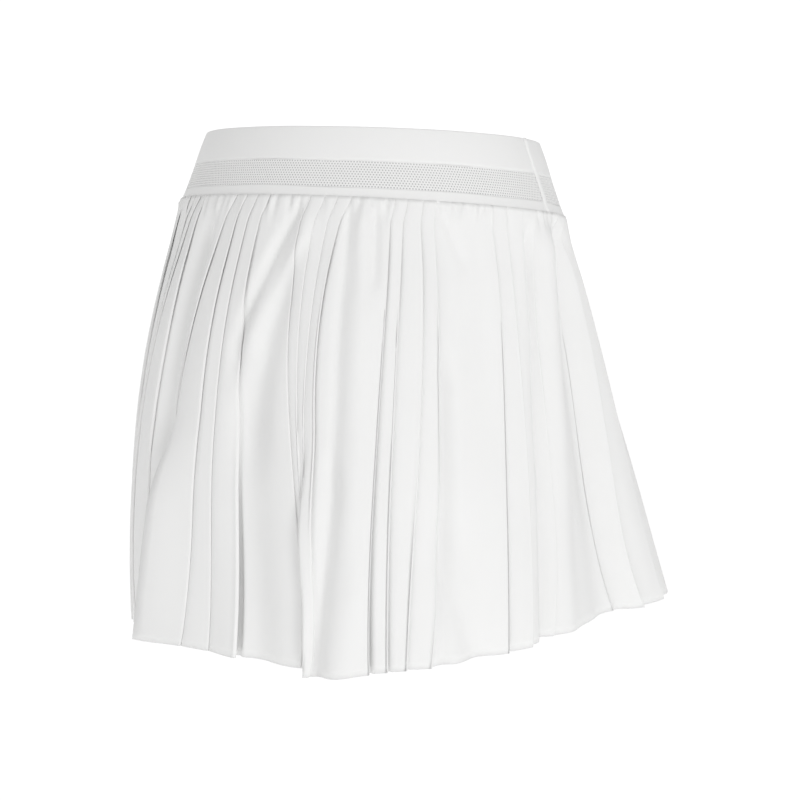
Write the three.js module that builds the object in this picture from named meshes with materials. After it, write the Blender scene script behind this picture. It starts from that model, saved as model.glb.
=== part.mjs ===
// A pleated tennis skirt, standing open as if worn, with nobody in it.
//
// Millimetres, +Z up. The origin is the centre of the waist opening, in the plane of the waistband's
// top edge. The front of the skirt faces -Y, the back +Y, and the wearer's right side is -X.
// Angles run anticlockwise seen from above, from the wearer's left side (+X).
//
// The band has three layers, one under another: a smooth upper band, a perforated mesh insert and a
// narrow lower strip that carries the skirt. Each is cut in a back half and a front half. The skirt
// is two panels of knife pleats, four folds to a group, with a wide plain face between two groups.

import * as THREE from 'three';
import { mergeVertices } from 'three/addons/utils/BufferGeometryUtils.js';

// ---------- driving dimensions ----------

const WAIST_HALF_WIDTH = 120;      // waist opening, centre to side
const WAIST_HALF_DEPTH = 115;      // waist opening, centre to back
const WAIST_TILT = 0.065;          // rise towards the back, per mm
const BAND_DEPTH = 50;             // top edge to the seam that carries the pleats, at the sides
const SEAM_TILT = 0.098;           // the same rise, for that seam
const BAND_FLARE = 18;             // how much wider the band is at its lower edge
const HEM_LEVEL = -334;            // height of the hem
const HEM_REACH = [180, 168, 190, 187, 194, 178, 171, 218, 222, 210, 207, 195]; // every 30 degrees
const FULLNESS = 1.7;              // 1 hangs straight from seam to hem, 2 swells near the seam
const FULLNESS_SWING = 0.75;       // change of fullness round the body
const FULLEST_ANGLE = 47;          // degrees: fullest over the wearer's left hip and the back

const BAND_WALL = 2;               // doubled knit
const MESH_WALL = 1;
const STRIP_WALL = 1.6;
const CLOTH_WALL = 1;              // pleated cloth
const SEAM_GAP = 0.3;              // between neighbouring pieces

const MESH_TOP_SHARE = 0.49;       // the band's layers, as shares of its depth
const STRIP_TOP_SHARE = 0.86;
const RIDGE_WIDTH = 5;             // side seam allowance, raised on the outside of the band
const RIDGE_HEIGHT = 1.4;

const FOLDS_PER_GROUP = 4;
// Where each group's first fold lies on one half of the skirt: 0 is the side seam where the half
// starts, 1 the side seam where it ends. Both halves are pleated alike.
const GROUPS_AT_SEAM = [0.037, 0.165, 0.298, 0.428, 0.564, 0.692, 0.853];
const GROUPS_AT_HEM = [0.002, 0.14, 0.245, 0.352, 0.503, 0.624, 0.789];
const PITCH_AT_SEAM = [0.03, 0.022, 0.022, 0.022, 0.021, 0.0225, 0.031]; // fold to fold, each group
const PITCH_AT_HEM = [0.036, 0.022, 0.022, 0.0385, 0.021, 0.022, 0.0286];
const NARROWEST_PITCH = 0.021;
const FOLD_BOW = 0.018;            // the folds' bow sideways at mid length, as a share of a half
const UNDERFOLD = 0.0095;          // how far a fold turns back under itself, as a share of a half
const LAYER_GAP_SEAM = 0.7;        // air between the layers of a fold, at the seam
const LAYER_GAP_HEM = 1.8;         // and at the hem, where the folds stand open
const FACE_WAVES = [[2, -1], [-2, 2], [1, -3], [3, -2], [-3, 2], [2, -3], [3, -4]]; // hem waves of
                                   // the plain faces before each group, at a third and two thirds

const SKIRT_LEVELS = [0, 0.1, 0.24, 0.4, 0.57, 0.74, 0.88, 1]; // rings of the panels, seam to hem
const BAND_STEPS = 22;             // stations along half of the band
const RING_SAMPLES = 720;          // points used to measure along a ring

const WHITE_KNIT = { color: 0xf1f1ef, roughness: 0.85, metalness: 0 };
const WHITE_MESH = { color: 0xe9e9e7, roughness: 0.9, metalness: 0 };
const WHITE_WOVEN = { color: 0xf3f3f1, roughness: 0.8, metalness: 0 };

// ---------- small maths ----------

const TURN = 2 * Math.PI;
const radians = (degrees) => degrees * Math.PI / 180;
const mix = (a, b, share) => a + (b - a) * share;

function ellipseRadius(halfWidth, halfDepth, angle) {
  const across = halfDepth * Math.cos(angle);
  const along = halfWidth * Math.sin(angle);
  return halfWidth * halfDepth / Math.hypot(across, along);
}

// A smooth closed curve through equally spaced radii.
function smoothRadius(radii, angle) {
  const place = (angle / TURN) * radii.length;
  const index = Math.floor(place);
  const share = place - index;
  const pick = (step) => radii[(index + step + radii.length) % radii.length];
  const [before, start, end, after] = [pick(-1), pick(0), pick(1), pick(2)];
  return start + 0.5 * share * (end - before
    + share * (2 * before - 5 * start + 4 * end - after
      + share * (3 * (start - end) + after - before)));
}

// A level's closed outline, measured along its length: at(0) is the wearer's left, at(0.5) the right.
class Ring {
  constructor(radiusAt) {
    this.points = [];
    this.lengths = [0];
    for (let i = 0; i <= RING_SAMPLES; i += 1) {
      const angle = (i / RING_SAMPLES) * TURN;
      const radius = radiusAt(i === RING_SAMPLES ? 0 : angle);
      this.points.push(new THREE.Vector2(radius * Math.cos(angle), radius * Math.sin(angle)));
      if (i > 0) this.lengths.push(this.lengths[i - 1] + this.points[i].distanceTo(this.points[i - 1]));
    }
    this.perimeter = this.lengths[RING_SAMPLES];
  }

  at(share) {
    const wanted = (share - Math.floor(share)) * this.perimeter;
    let low = 0;
    let high = RING_SAMPLES;
    while (high - low > 1) {
      const middle = (low + high) >> 1;
      if (this.lengths[middle] <= wanted) low = middle;
      else high = middle;
    }
    const along = (wanted - this.lengths[low]) / (this.lengths[high] - this.lengths[low]);
    const point = this.points[low].clone().lerp(this.points[high], along);
    const tangent = this.points[high].clone().sub(this.points[low]).normalize();
    return { point, outward: new THREE.Vector2(tangent.y, -tangent.x) };
  }
}

// ---------- meshes ----------

// A closed wall: every section is the same loop of points, and the two end sections are capped.
// A cap joins the first half of the loop to the second half, walked backwards. Each four-sided
// face is cut along its shorter diagonal, so that layers lying on each other bend alike.
function wallFromSections(sections) {
  const count = sections[0].length;
  const points = sections.flat();
  const positions = points.flatMap((point) => [point.x, point.y, point.z]);
  const faces = [];
  const quad = (a, b, c, d) => {
    const cutFromA = points[a].distanceTo(points[c]) <= points[b].distanceTo(points[d]);
    faces.push(...(cutFromA ? [a, b, c, a, c, d] : [a, b, d, b, c, d]));
  };
  for (let s = 0; s + 1 < sections.length; s += 1) {
    for (let i = 0; i < count; i += 1) {
      const next = (i + 1) % count;
      quad(s * count + i, s * count + next, (s + 1) * count + next, (s + 1) * count + i);
    }
  }
  const last = (sections.length - 1) * count;
  for (let i = 0; i + 1 < count / 2; i += 1) {
    const back = count - 1 - i;
    quad(i, back, back - 1, i + 1);
    quad(last + i, last + i + 1, last + back - 1, last + back);
  }
  const geometry = new THREE.BufferGeometry();
  geometry.setAttribute('position', new THREE.Float32BufferAttribute(positions, 3));
  geometry.setIndex(faces);
  const merged = mergeVertices(geometry, 1e-4);
  merged.computeVertexNormals();
  return merged;
}

function makeMesh(name, geometry, look) {
  const mesh = new THREE.Mesh(geometry, new THREE.MeshStandardMaterial(look));
  mesh.name = name;
  return mesh;
}

// ---------- the band ----------

// A point of the band: angle round the waist, share of the band's depth, and distance outwards.
function bandPoint(angle, share, lift) {
  const flare = BAND_FLARE * share;
  const radius = ellipseRadius(WAIST_HALF_WIDTH + flare, WAIST_HALF_DEPTH + flare, angle) + lift;
  const x = radius * Math.cos(angle);
  const y = radius * Math.sin(angle);
  return new THREE.Vector3(x, y, mix(WAIST_TILT * y, SEAM_TILT * y - BAND_DEPTH, share));
}

// One half of one layer of the band, between two shares of its depth, with gaps at its neighbours.
function bandLayer(startAngle, topShare, bottomShare, wall) {
  const edgeShare = SEAM_GAP / 2 / BAND_DEPTH;
  const edgeAngle = SEAM_GAP / 2 / WAIST_HALF_WIDTH;
  const top = topShare === 0 ? 0 : topShare + edgeShare;
  const bottom = bottomShare - edgeShare;
  const sections = [];
  for (let i = 0; i <= BAND_STEPS; i += 1) {
    const angle = mix(startAngle + edgeAngle, startAngle + Math.PI - edgeAngle, i / BAND_STEPS);
    sections.push([
      bandPoint(angle, top, -wall),
      bandPoint(angle, top, 0),
      bandPoint(angle, bottom, 0),
      bandPoint(angle, bottom, -wall),
    ]);
  }
  return wallFromSections(sections);
}

// The raised seam allowance down the whole band at one side seam, made from the band's own points.
function seamRidge(angle) {
  const halfTurn = RIDGE_WIDTH / 2 / WAIST_HALF_WIDTH;
  const sections = [];
  for (const share of [0.01, MESH_TOP_SHARE, STRIP_TOP_SHARE, 0.985]) {
    sections.push([
      bandPoint(angle - halfTurn, share, SEAM_GAP),
      bandPoint(angle + halfTurn, share, SEAM_GAP),
      bandPoint(angle + 0.6 * halfTurn, share, SEAM_GAP + RIDGE_HEIGHT),
      bandPoint(angle - 0.6 * halfTurn, share, SEAM_GAP + RIDGE_HEIGHT),
    ]);
  }
  return wallFromSections(sections);
}

// ---------- the pleated panels ----------

// The seam that carries the pleats, at an angle: its radius and height.
function seamAt(angle) {
  const halfWidth = WAIST_HALF_WIDTH + BAND_FLARE;
  const halfDepth = WAIST_HALF_DEPTH + BAND_FLARE;
  const radius = ellipseRadius(halfWidth, halfDepth, angle);
  return { radius, height: SEAM_TILT * radius * Math.sin(angle) - BAND_DEPTH };
}

function skirtRadius(angle, level) {
  const swell = FULLNESS + FULLNESS_SWING * Math.cos(angle - radians(FULLEST_ANGLE));
  const reached = 1 - (1 - level) ** swell;
  return mix(seamAt(angle).radius - 2, smoothRadius(HEM_REACH, angle), reached);
}

const skirtRings = SKIRT_LEVELS.map((level) => new Ring((angle) => skirtRadius(angle, level)));

// A point of a panel: share of the whole ring, distance outwards, and the ring's number.
function skirtPoint(share, lift, ringIndex) {
  const level = SKIRT_LEVELS[ringIndex];
  const { point, outward } = skirtRings[ringIndex].at(share);
  const angle = Math.atan2(point.y, point.x);
  const top = seamAt(angle).height - SEAM_GAP;
  return new THREE.Vector3(
    point.x + outward.x * lift,
    point.y + outward.y * lift,
    mix(top, HEM_LEVEL, level),
  );
}

// Where a fold lies on its half at a level; group 7 is the first group of the next half.
function foldPlace(group, fold, level) {
  const half = Math.floor(group / GROUPS_AT_SEAM.length);
  const own = group % GROUPS_AT_SEAM.length;
  const start = mix(GROUPS_AT_SEAM[own], GROUPS_AT_HEM[own], level);
  const pitch = mix(PITCH_AT_SEAM[own], PITCH_AT_HEM[own], level);
  return half + start + fold * pitch + FOLD_BOW * 4 * level * (1 - level);
}

// The middle line of one face, from the fold it comes out from under to its own fold and back under.
function faceLine(line, from, to, level, waves) {
  const layer = CLOTH_WALL + mix(LAYER_GAP_SEAM, LAYER_GAP_HEM, level);
  const start = from - UNDERFOLD;
  const rise = 2 * layer / (1 - UNDERFOLD / (NARROWEST_PITCH + UNDERFOLD));
  const turned = rise - layer;
  line.push([start, 0]);
  waves.forEach((wave, i) => {
    const share = (i + 1) / (waves.length + 1);
    line.push([mix(from, to, share), rise * mix(0.5, 1, share) + wave * level * level]);
  });
  line.push([to, rise], [to, turned], [to - UNDERFOLD, layer]);
}

// The middle line of a whole panel at one level: pairs of place on the half and distance outwards.
function panelLine(half, level) {
  const groups = GROUPS_AT_SEAM.length;
  const line = [];
  for (let g = 0; g < groups; g += 1) {
    const group = half * groups + g;
    for (let fold = 1; fold < FOLDS_PER_GROUP; fold += 1) {
      faceLine(line, foldPlace(group, fold - 1, level), foldPlace(group, fold, level), level, []);
    }
    const lastFold = foldPlace(group, FOLDS_PER_GROUP - 1, level);
    const nextGroup = foldPlace(group + 1, 0, level);
    faceLine(line, lastFold, nextGroup, level, FACE_WAVES[g]);
  }
  return line;
}

// Moves a line sideways by half the wall, mitred at its corners. Places are turned into millimetres
// along the ring first, so that both directions of the offset are lengths.
function offsetLine(line, distance) {
  return line.map((point, i) => {
    const before = line[Math.max(i - 1, 0)];
    const after = line[Math.min(i + 1, line.length - 1)];
    const into = point.clone().sub(before).normalize();
    const outOf = after.clone().sub(point).normalize();
    const along = into.add(outOf).normalize();
    const normal = new THREE.Vector2(-along.y, along.x);
    const nextStretch = (i === 0 ? after.clone().sub(point) : point.clone().sub(before)).normalize();
    const square = Math.abs(nextStretch.x * along.x + nextStretch.y * along.y);
    return point.clone().addScaledVector(normal, distance / Math.max(square, 0.6));
  });
}

function pleatedPanel(half) {
  const sections = SKIRT_LEVELS.map((level, ringIndex) => {
    const halfLength = skirtRings[ringIndex].perimeter / 2;
    const line = panelLine(half, level).map(([place, lift]) => new THREE.Vector2(place * halfLength, lift));
    const outer = offsetLine(line, CLOTH_WALL / 2);
    const inner = offsetLine(line, -CLOTH_WALL / 2);
    const loop = [...inner, ...outer.reverse()];
    return loop.map((point) => skirtPoint(point.x / halfLength / 2, point.y, ringIndex));
  });
  return wallFromSections(sections);
}

// ---------- the whole skirt ----------

const skirt = new THREE.Group();
const halves = [
  { side: 'back', startAngle: 0, half: 0 },
  { side: 'front', startAngle: Math.PI, half: 1 },
];
for (const { side, startAngle, half } of halves) {
  skirt.add(
    makeMesh(`waistband_${side}`, bandLayer(startAngle, 0, MESH_TOP_SHARE, BAND_WALL), WHITE_KNIT),
    makeMesh(`mesh_insert_${side}`, bandLayer(startAngle, MESH_TOP_SHARE, STRIP_TOP_SHARE, MESH_WALL), WHITE_MESH),
    makeMesh(`waist_strip_${side}`, bandLayer(startAngle, STRIP_TOP_SHARE, 1, STRIP_WALL), WHITE_KNIT),
    makeMesh(`skirt_${side}`, pleatedPanel(half), WHITE_WOVEN),
  );
}
skirt.add(
  makeMesh('seam_ridge_left', seamRidge(0), WHITE_KNIT),
  makeMesh('seam_ridge_right', seamRidge(Math.PI), WHITE_KNIT),
);

export default skirt;
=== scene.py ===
"""A white pleated tennis skirt, standing open in its worn form, with nobody in it.

Metres, +Z up. The origin is the centre of the waist opening, the front faces -Y and the wearer's
right side is -X. Angles run anticlockwise seen from above, from the wearer's left side (+X).
"""

import logging
import math
from dataclasses import dataclass
from enum import Enum
from typing import Callable, Sequence

import bmesh
import bpy
import numpy as np
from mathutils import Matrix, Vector


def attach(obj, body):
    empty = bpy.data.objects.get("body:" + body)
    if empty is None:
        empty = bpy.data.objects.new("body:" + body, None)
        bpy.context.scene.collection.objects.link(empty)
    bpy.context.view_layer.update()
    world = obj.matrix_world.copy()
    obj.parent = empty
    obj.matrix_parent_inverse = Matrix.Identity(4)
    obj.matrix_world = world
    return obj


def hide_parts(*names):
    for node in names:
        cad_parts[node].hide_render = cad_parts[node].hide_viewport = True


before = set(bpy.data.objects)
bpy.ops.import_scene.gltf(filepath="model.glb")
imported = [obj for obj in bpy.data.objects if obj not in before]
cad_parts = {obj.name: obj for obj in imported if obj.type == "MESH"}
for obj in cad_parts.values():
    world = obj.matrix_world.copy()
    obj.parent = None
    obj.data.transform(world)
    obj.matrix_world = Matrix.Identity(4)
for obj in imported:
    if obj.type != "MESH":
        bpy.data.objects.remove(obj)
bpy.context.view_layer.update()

LOG = logging.getLogger("tennis_skirt")
MM = 0.001
ROOT = "root"
FULL_TURN = 2.0 * math.pi
CLOTH_MAP = "cloth"
SHEEN_ROUGHNESS = 0.4
CLOTH_SPECULAR = 0.3

Number = float | np.ndarray
Socket = bpy.types.NodeSocket


class Half(Enum):
    """The two halves that every layer of the skirt is cut in."""

    BACK = 0
    FRONT = 1

    @property
    def label(self) -> str:
        """The half's word in the names of pieces."""
        return self.name.lower()

    @property
    def start_angle(self) -> float:
        """Angle of the side seam where the half starts, in radians."""
        return math.pi * self.value


# ---------------------------------------------------------------- small maths


def mix(a: Number, b: Number, share: Number) -> Number:
    """Straight blend from a to b.

    Args:
        a: value at share 0.
        b: value at share 1.
        share: number or array.

    Returns:
        The blended number or array.
    """
    return a + (b - a) * share


def ease(x: Number) -> Number:
    """Smooth step from 0 to 1, flat outside.

    Args:
        x: number or array.

    Returns:
        The eased number or array.
    """
    x = np.clip(x, 0.0, 1.0)
    return x * x * (3.0 - 2.0 * x)


def bell(x: Number) -> Number:
    """Soft bump of height 1 round 0, with a half width of 1.

    Args:
        x: distance from the middle, in half widths.

    Returns:
        The bump's height there.
    """
    return np.exp(-x * x)


@dataclass(frozen=True)
class Ripple:
    """A repeatable sum of sines, used for the cloth's small irregularities.

    Each wavelength draws its own phase, and how far its crests drift along the cloth on the way
    down, from a generator with the ripple's own seed.
    """

    seed: int
    wavelengths: tuple[float, ...]
    most_drift: float = 0.35

    def at(self, along: Number, down: Number = 0.0) -> Number:
        """The ripple's height, about -1 to 1.

        Args:
            along: place along the cloth.
            down: place down the cloth, in the same unit.

        Returns:
            The height, with the shape of the arguments.
        """
        draws = np.random.default_rng(self.seed)
        total = 0.0
        for length in self.wavelengths:
            phase = draws.uniform(0.0, FULL_TURN)
            drift = draws.uniform(-self.most_drift, self.most_drift)
            total = total + np.sin(FULL_TURN * (along + drift * down) / length + phase)
        return total / len(self.wavelengths)


def smooth_radius(radii: Sequence[float], angle: Number) -> Number:
    """A smooth closed curve through equally spaced radii.

    Args:
        radii: radius every 360 / len(radii) degrees, from angle 0.
        angle: radians, number or array.

    Returns:
        The radius at each angle.
    """
    values = np.asarray(radii, float)
    place = np.asarray(angle) / FULL_TURN * len(values)
    index = np.floor(place).astype(int)
    share = place - index
    before, start, end, after = (values[(index + step) % len(values)] for step in (-1, 0, 1, 2))
    cubic = share * (3.0 * (start - end) + after - before)
    square = share * (2.0 * before - 5.0 * start + 4.0 * end - after + cubic)
    return start + 0.5 * share * (end - before + square)


# ---------------------------------------------------------------- node trees


class NodeGraph:
    """Short calls for building a node tree."""

    def __init__(self, tree: bpy.types.NodeTree) -> None:
        """Empties the tree and keeps it.

        Args:
            tree: the tree to fill.
        """
        tree.nodes.clear()
        self.tree = tree

    def node(self, kind: str, inputs: dict | None = None, **settings: object) -> bpy.types.Node:
        """Adds a node.

        Args:
            kind: the node's type name.
            inputs: socket name or number to a value, or to a socket to link.
            settings: properties of the node.

        Returns:
            The new node.
        """
        made = self.tree.nodes.new(kind)
        for name, value in settings.items():
            setattr(made, name, value)
        for name, value in (inputs or {}).items():
            if isinstance(value, Socket):
                self.tree.links.new(value, made.inputs[name])
            else:
                made.inputs[name].default_value = value
        return made

    def math(self, operation: str, a: float | Socket, b: float | Socket = 0.0) -> Socket:
        """Adds a Math node and returns its output.

        Args:
            operation: the Math node's operation.
            a: first number or socket.
            b: second number or socket.

        Returns:
            The output socket.
        """
        return self.node("ShaderNodeMath", {0: a, 1: b}, operation=operation).outputs[0]


# ---------------------------------------------------------------- finishes


def kept(name: str, make: Callable[[], bpy.types.Material]) -> bpy.types.Material:
    """A material by name, made the first time that it is asked for.

    Args:
        name: the material's name.
        make: builds it.

    Returns:
        The material.
    """
    return bpy.data.materials.get(name) or make()


def principled(
    name: str, colour: Sequence[float], roughness: float, sheen: float
) -> tuple[bpy.types.Material, NodeGraph, bpy.types.Node]:
    """A cloth shader with its plain values set on its own sockets.

    Args:
        name: the material's name.
        colour: red, green and blue.
        roughness: of the fibres.
        sheen: weight of the fuzz at grazing angles.

    Returns:
        The material, its graph, and the shader node.
    """
    material = bpy.data.materials.new(name)
    material.use_nodes = True
    graph = NodeGraph(material.node_tree)
    shader = graph.node(
        "ShaderNodeBsdfPrincipled",
        {
            "Base Color": (*colour, 1.0),
            "Roughness": roughness,
            "Sheen Weight": sheen,
            "Sheen Roughness": SHEEN_ROUGHNESS,
            "Specular IOR Level": CLOTH_SPECULAR,
        },
    )
    graph.node("ShaderNodeOutputMaterial", {"Surface": shader.outputs[0]})
    return material, graph, shader


@dataclass(frozen=True)
class WovenFinish:
    """Plain woven polyester: crossing threads, a trace of unevenness, a soft sheen."""

    name: str = "pleated_cloth_white"
    colour: tuple[float, float, float] = (0.87, 0.87, 0.865)
    roughness: float = 0.72
    sheen: float = 0.04
    thread: float = 0.42 * MM
    relief: float = 0.03 * MM
    bump_strength: float = 0.6
    slub_scale: float = 900.0
    slub_share: float = 1.6
    shade_scale: float = 22.0
    tone_range: tuple[float, float] = (0.975, 1.0)

    def material(self) -> bpy.types.Material:
        """Builds the material on the piece's own UV map, which is in metres of flat cloth.

        Returns:
            The material.
        """
        material, graph, shader = principled(self.name, self.colour, self.roughness, self.sheen)
        flat = graph.node("ShaderNodeUVMap", uv_map=CLOTH_MAP).outputs[0]
        axes = graph.node("ShaderNodeSeparateXYZ", {0: flat}).outputs
        turn = FULL_TURN / self.thread
        warp = graph.math("SINE", graph.math("MULTIPLY", axes[0], turn))
        weft = graph.math("SINE", graph.math("MULTIPLY", axes[1], turn))
        weave = graph.math("MULTIPLY", warp, weft)
        slub = graph.node("ShaderNodeTexNoise", {"Vector": flat, "Scale": self.slub_scale, "Detail": 2.0})
        height = graph.math("ADD", weave, graph.math("MULTIPLY", slub.outputs[0], self.slub_share))
        bump = graph.node(
            "ShaderNodeBump", {"Strength": self.bump_strength, "Distance": self.relief, "Height": height}
        )
        graph.tree.links.new(bump.outputs[0], shader.inputs["Normal"])
        shade = graph.node("ShaderNodeTexNoise", {"Vector": flat, "Scale": self.shade_scale, "Detail": 3.0})
        darkest, lightest = self.tone_range
        tone = graph.node("ShaderNodeMapRange", {0: shade.outputs[0], 3: darkest, 4: lightest}).outputs[0]
        tint = graph.node(
            "ShaderNodeVectorMath", {0: self.colour, 1: (1.0, 1.0, 1.0)}, operation="MULTIPLY"
        )
        graph.tree.links.new(tone, tint.inputs[1])
        graph.tree.links.new(tint.outputs[0], shader.inputs["Base Color"])
        return material


@dataclass(frozen=True)
class KnitFinish:
    """Smooth fine-gauge knit: tiny upright loops in columns."""

    name: str = "band_knit_white"
    colour: tuple[float, float, float] = (0.86, 0.86, 0.855)
    roughness: float = 0.8
    sheen: float = 0.06
    column: float = 0.7 * MM
    course: float = 0.5 * MM
    loop_lean: float = 1.6
    relief: float = 0.04 * MM
    bump_strength: float = 0.5
    fuzz_scale: float = 1400.0

    def material(self) -> bpy.types.Material:
        """Builds the material on the piece's own UV map, in metres along and down the band.

        Returns:
            The material.
        """
        material, graph, shader = principled(self.name, self.colour, self.roughness, self.sheen)
        flat = graph.node("ShaderNodeUVMap", uv_map=CLOTH_MAP).outputs[0]
        axes = graph.node("ShaderNodeSeparateXYZ", {0: flat}).outputs
        along = graph.math("MULTIPLY", axes[0], FULL_TURN / self.column)
        arch = graph.math("ABSOLUTE", graph.math("SINE", along))
        lean = graph.math("MULTIPLY", arch, self.loop_lean)
        down = graph.math("MULTIPLY", axes[1], FULL_TURN / self.course)
        loops = graph.math("SINE", graph.math("ADD", down, lean))
        ribs = graph.math("ABSOLUTE", graph.math("SINE", graph.math("MULTIPLY", along, 0.5)))
        fuzz = graph.node("ShaderNodeTexNoise", {"Vector": flat, "Scale": self.fuzz_scale, "Detail": 2.0})
        height = graph.math("ADD", graph.math("MULTIPLY", loops, ribs), fuzz.outputs[0])
        bump = graph.node(
            "ShaderNodeBump", {"Strength": self.bump_strength, "Distance": self.relief, "Height": height}
        )
        graph.tree.links.new(bump.outputs[0], shader.inputs["Normal"])
        return material


@dataclass(frozen=True)
class FloorFinish:
    """The studio's white paper, which glows a little so that it stays white."""

    name: str = "studio_paper"
    brightness: float = 0.92
    roughness: float = 0.95
    glow: float = 0.46

    def material(self) -> bpy.types.Material:
        """Builds the matt white material.

        Returns:
            The material.
        """
        grey = (self.brightness,) * 3
        material, _, shader = principled(self.name, grey, self.roughness, sheen=0.0)
        shader.inputs["Emission Color"].default_value = (1.0, 1.0, 1.0, 1.0)
        shader.inputs["Emission Strength"].default_value = self.glow
        return material


# ---------------------------------------------------------------- meshes


def grid_object(
    name: str,
    points: np.ndarray,
    flat: np.ndarray,
    material: bpy.types.Material,
    closed_rows: bool = False,
) -> bpy.types.Object:
    """A smooth surface through a grid of points.

    Args:
        name: the object's name.
        points: rows x columns x 3, metres.
        flat: rows x columns x 2, the same points on the flat cloth, metres.
        material: its finish.
        closed_rows: True where the last row meets the first again.

    Returns:
        The object, at the origin.
    """
    rows, columns = points.shape[:2]
    index = np.arange(rows * columns).reshape(rows, columns)
    if closed_rows:
        index = np.vstack([index, index[:1]])
    quads = np.stack([index[:-1, :-1], index[1:, :-1], index[1:, 1:], index[:-1, 1:]], -1)
    mesh = bpy.data.meshes.new(name)
    mesh.from_pydata(points.reshape(-1, 3).tolist(), [], quads.reshape(-1, 4).tolist())
    layer = mesh.uv_layers.new(name=CLOTH_MAP)
    corners = np.empty(len(mesh.loops), np.int32)
    mesh.loops.foreach_get("vertex_index", corners)
    layer.data.foreach_set("uv", flat.reshape(-1, 2)[corners].astype(np.float32).ravel())
    mesh.polygons.foreach_set("use_smooth", np.ones(len(mesh.polygons), bool))
    mesh.materials.append(material)
    made = bpy.data.objects.new(name, mesh)
    bpy.context.scene.collection.objects.link(made)
    return made


def dress(piece: bpy.types.Object, slot: str, *nodes: str) -> bpy.types.Object:
    """Fixes a finished piece to the frame.

    Args:
        piece: the finished piece, in place.
        slot: the record's material slot; not used.
        nodes: the CAD nodes that it stands for.

    Returns:
        The piece.
    """
    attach(piece, ROOT)
    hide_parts(*nodes)
    return piece


# ---------------------------------------------------------------- the body form


@dataclass(frozen=True)
class WornForm:
    """The hollow form that the skirt keeps: the band's cone, and the skirt's ring at each level.

    The tilts are metres of height for each metre towards the back. The mesh and the strip start at
    shares of the band's depth. The hem's reach is in millimetres from the middle, every 30 degrees.
    """

    waist_half_width: float = 120 * MM
    waist_half_depth: float = 115 * MM
    waist_tilt: float = 0.065
    band_depth: float = 50 * MM
    seam_tilt: float = 0.098
    band_flare: float = 18 * MM
    mesh_top: float = 0.49
    strip_top: float = 0.86
    tucked_under: float = 0.3 * MM
    hem_level: float = -334 * MM
    hem_reach: tuple[float, ...] = (180, 168, 190, 187, 194, 178, 171, 218, 222, 210, 207, 195)
    fullness: float = 1.7
    fullness_swing: float = 0.75
    fullest_angle: float = math.radians(47)
    samples: int = 1440

    def ellipse(self, grown: Number, angle: Number) -> Number:
        """Radius of the waist's ellipse, grown by a distance.

        Args:
            grown: metres added to both half axes.
            angle: radians.

        Returns:
            The radius.
        """
        wide, deep = self.waist_half_width + grown, self.waist_half_depth + grown
        return wide * deep / np.hypot(deep * np.cos(angle), wide * np.sin(angle))

    def band_point(self, angle: Number, share: Number, lift: Number) -> np.ndarray:
        """A point of the band.

        Args:
            angle: radians round the waist.
            share: 0 at the top edge, 1 at the pleats' seam.
            lift: metres outwards.

        Returns:
            Array with x, y and z last.
        """
        radius = self.ellipse(self.band_flare * share, angle) + lift
        x, y = radius * np.cos(angle), radius * np.sin(angle)
        z = mix(self.waist_tilt * y, self.seam_tilt * y - self.band_depth, share)
        return np.stack(np.broadcast_arrays(x, y, z), -1)

    def ring(self, level: float) -> dict[str, np.ndarray]:
        """The skirt's ring at a level, measured along its length.

        Args:
            level: 0 at the seam, 1 at the hem.

        Returns:
            Arrays share, x, y, z, out_x, out_y and the ring's length under "length".
        """
        angle = np.linspace(0.0, FULL_TURN, self.samples + 1)
        seam = self.ellipse(self.band_flare, angle)
        swell = self.fullness + self.fullness_swing * np.cos(angle - self.fullest_angle)
        hem = smooth_radius(self.hem_reach, angle) * MM
        radius = mix(seam, hem, 1.0 - (1.0 - level) ** swell)
        x, y = radius * np.cos(angle), radius * np.sin(angle)
        top = self.seam_tilt * seam * np.sin(angle) - self.band_depth + self.tucked_under
        steps = np.hypot(np.diff(x), np.diff(y))
        along = np.concatenate([[0.0], np.cumsum(steps)])
        run_x, run_y = np.gradient(x, angle), np.gradient(y, angle)
        run = np.hypot(run_x, run_y)
        return {
            "share": along / along[-1],
            "x": x,
            "y": y,
            "z": mix(top, self.hem_level, level),
            "out_x": run_y / run,
            "out_y": -run_x / run,
            "length": along[-1],
        }


# ---------------------------------------------------------------- pleated panels


def along_levels(values: Sequence[float], level: np.ndarray) -> np.ndarray:
    """The cubic through four values at levels 0, 1/3, 2/3 and 1.

    Args:
        values: the four values.
        level: array of levels.

    Returns:
        The curve's value at each level.
    """
    knots = np.linspace(0.0, 1.0, 4)
    total = np.zeros_like(level)
    for i, value in enumerate(values):
        weight = np.ones_like(level)
        for j, knot in enumerate(knots):
            if j != i:
                weight = weight * (level - knot) / (knots[i] - knot)
        total = total + value * weight
    return total


@dataclass(frozen=True)
class Fold:
    """One knife pleat's edge.

    Its line gives its place on the half at levels 0, 1/3, 2/3 and 1, and its stand says how far it
    stands out from the face under it, in millimetres, at mid length and at the hem. The slit is how
    high the next face swells beside it, as a share of that stand.
    """

    line: tuple[float, float, float, float]
    stand: tuple[float, float]
    slit: float = 0.4


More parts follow.
